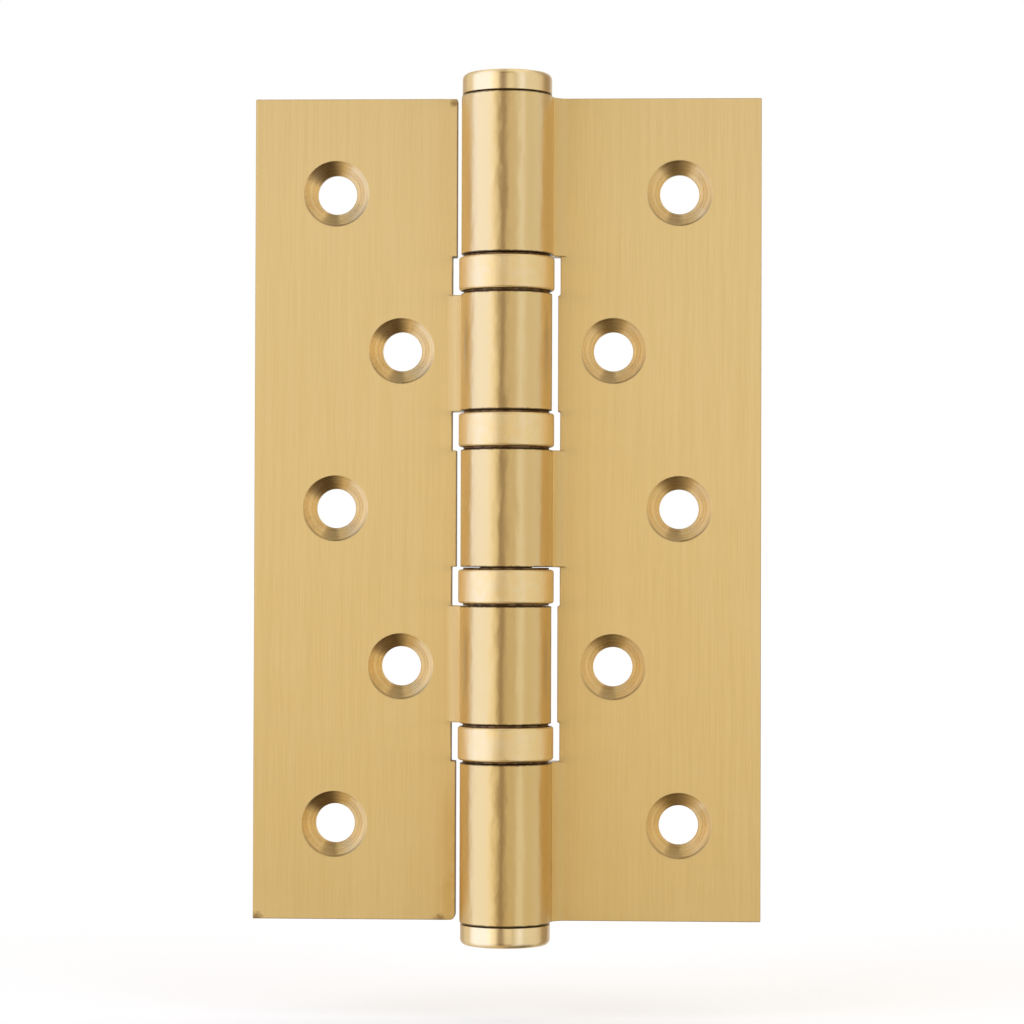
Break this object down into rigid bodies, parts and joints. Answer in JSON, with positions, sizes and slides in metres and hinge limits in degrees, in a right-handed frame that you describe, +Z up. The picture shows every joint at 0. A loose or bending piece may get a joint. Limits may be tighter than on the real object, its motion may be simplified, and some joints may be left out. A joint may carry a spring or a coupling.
{
  "type": "door hinge",
  "caption": "Satin brass butt hinge lying open flat: two leaves with countersunk screw holes swing on one pin through interlocking knuckles, with ball bearings between them.",
  "frame": {"origin": "on the pin's axis, half way up the hinge", "axes": "+Z up along the pin; -Y towards the countersunk faces; +X along the jamb leaf, -X along the door leaf, with the hinge open flat"},
  "size_m": [0.0784, 0.0148, 0.1336],
  "materials": {
    "leaf_brass": "satin, brushed along the pin",
    "sleeve_brass": "tumbled satin",
    "tip_brass": "fine turned, bright satin",
    "bearing_steel": "ground and hardened",
    "cage_nylon": "moulded"
  },
  "bodies": {
    "jamb_side": {"jamb_leaf": "leaf_brass", "hinge_pin": "bearing_steel", "top_tip": "tip_brass", "bottom_tip": "tip_brass", "bearing_1_upper_race": "bearing_steel", "bearing_2_lower_race": "bearing_steel", "bearing_2_sleeve": "sleeve_brass", "bearing_3_upper_race": "bearing_steel", "bearing_4_lower_race": "bearing_steel", "bearing_4_sleeve": "sleeve_brass"},
    "door_side": {"door_leaf": "leaf_brass", "bearing_1_lower_race": "bearing_steel", "bearing_1_sleeve": "sleeve_brass", "bearing_2_upper_race": "bearing_steel", "bearing_3_lower_race": "bearing_steel", "bearing_3_sleeve": "sleeve_brass", "bearing_4_upper_race": "bearing_steel"},
    "ball_train_1": {"bearing_1_cage": "cage_nylon", "bearing_1_ball_1": "bearing_steel", "bearing_1_ball_2": "bearing_steel", "bearing_1_ball_3": "bearing_steel", "bearing_1_ball_4": "bearing_steel", "bearing_1_ball_5": "bearing_steel", "bearing_1_ball_6": "bearing_steel", "bearing_1_ball_7": "bearing_steel", "bearing_1_ball_8": "bearing_steel"},
    "ball_train_2": {"bearing_2_cage": "cage_nylon", "bearing_2_ball_1": "bearing_steel", "bearing_2_ball_2": "bearing_steel", "bearing_2_ball_3": "bearing_steel", "bearing_2_ball_4": "bearing_steel", "bearing_2_ball_5": "bearing_steel", "bearing_2_ball_6": "bearing_steel", "bearing_2_ball_7": "bearing_steel", "bearing_2_ball_8": "bearing_steel"},
    "ball_train_3": {"bearing_3_cage": "cage_nylon", "bearing_3_ball_1": "bearing_steel", "bearing_3_ball_2": "bearing_steel", "bearing_3_ball_3": "bearing_steel", "bearing_3_ball_4": "bearing_steel", "bearing_3_ball_5": "bearing_steel", "bearing_3_ball_6": "bearing_steel", "bearing_3_ball_7": "bearing_steel", "bearing_3_ball_8": "bearing_steel"},
    "ball_train_4": {"bearing_4_cage": "cage_nylon", "bearing_4_ball_1": "bearing_steel", "bearing_4_ball_2": "bearing_steel", "bearing_4_ball_3": "bearing_steel", "bearing_4_ball_4": "bearing_steel", "bearing_4_ball_5": "bearing_steel", "bearing_4_ball_6": "bearing_steel", "bearing_4_ball_7": "bearing_steel", "bearing_4_ball_8": "bearing_steel"}
  },
  "joints": [
    {"name": "leaf_swing", "type": "hinge", "parent": "jamb_side", "child": "door_side", "pos_m": [0, 0, 0], "axis": [0, 0, 1], "range_deg": [-100, 180]},
    {"name": "cage_turn_1", "type": "hinge", "parent": "jamb_side", "child": "ball_train_1", "pos_m": [0, 0, 0], "axis": [0, 0, 1], "range_deg": [-50, 90]},
    {"name": "cage_turn_2", "type": "hinge", "parent": "jamb_side", "child": "ball_train_2", "pos_m": [0, 0, 0], "axis": [0, 0, 1], "range_deg": [-50, 90]},
    {"name": "cage_turn_3", "type": "hinge", "parent": "jamb_side", "child": "ball_train_3", "pos_m": [0, 0, 0], "axis": [0, 0, 1], "range_deg": [-50, 90]},
    {"name": "cage_turn_4", "type": "hinge", "parent": "jamb_side", "child": "ball_train_4", "pos_m": [0, 0, 0], "axis": [0, 0, 1], "range_deg": [-50, 90]}
  ],
  "couplings": [
    {"joint": "cage_turn_1", "follows": "leaf_swing", "ratio": 0.5},
    {"joint": "cage_turn_2", "follows": "leaf_swing", "ratio": 0.5},
    {"joint": "cage_turn_3", "follows": "leaf_swing", "ratio": 0.5},
    {"joint": "cage_turn_4", "follows": "leaf_swing", "ratio": 0.5}
  ]
}
